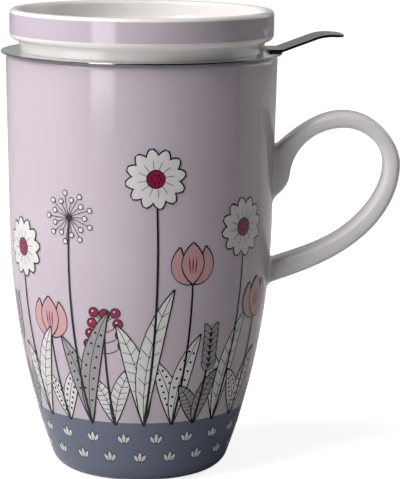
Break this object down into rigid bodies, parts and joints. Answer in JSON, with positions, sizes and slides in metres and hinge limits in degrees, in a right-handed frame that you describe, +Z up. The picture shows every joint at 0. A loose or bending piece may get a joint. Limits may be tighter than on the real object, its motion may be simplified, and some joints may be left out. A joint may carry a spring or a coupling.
{
  "type": "tea mug with strainer and lid",
  "caption": "Tall porcelain tea mug with an ear handle, a steel strainer hung in its mouth by a flange with a lifting tab, and a loose dish-shaped lid on top.",
  "frame": {"origin": "on the mug's axis, in the plane of the foot ring it stands on", "axes": "+Z up along the mug's axis, +X towards the handle"},
  "size_m": [0.1293, 0.0906, 0.15],
  "materials": {
    "lilac_glaze": "glossy glaze, lilac outside and white inside, dark band at the foot",
    "white_glaze": "glossy white glaze",
    "lid_glaze": "glossy glaze, lilac band with a white lip, dish and neck",
    "steel": "satin stainless steel"
  },
  "bodies": {
    "mug": {"mug_body": "lilac_glaze", "mug_handle": "white_glaze"},
    "strainer": {"strainer_rim": "steel", "strainer_wall": "steel", "strainer_base": "steel", "strainer_tab": "steel"},
    "lid": {"lid": "lid_glaze"}
  },
  "joints": [
    {"name": "strainer_lift", "type": "slide", "parent": "mug", "child": "strainer", "axis": [0, 0, 1], "range_m": [0, 0.085]},
    {"name": "lid_lift", "type": "slide", "parent": "strainer", "child": "lid", "axis": [0, 0, 1], "range_m": [0, 0.045]}
  ]
}
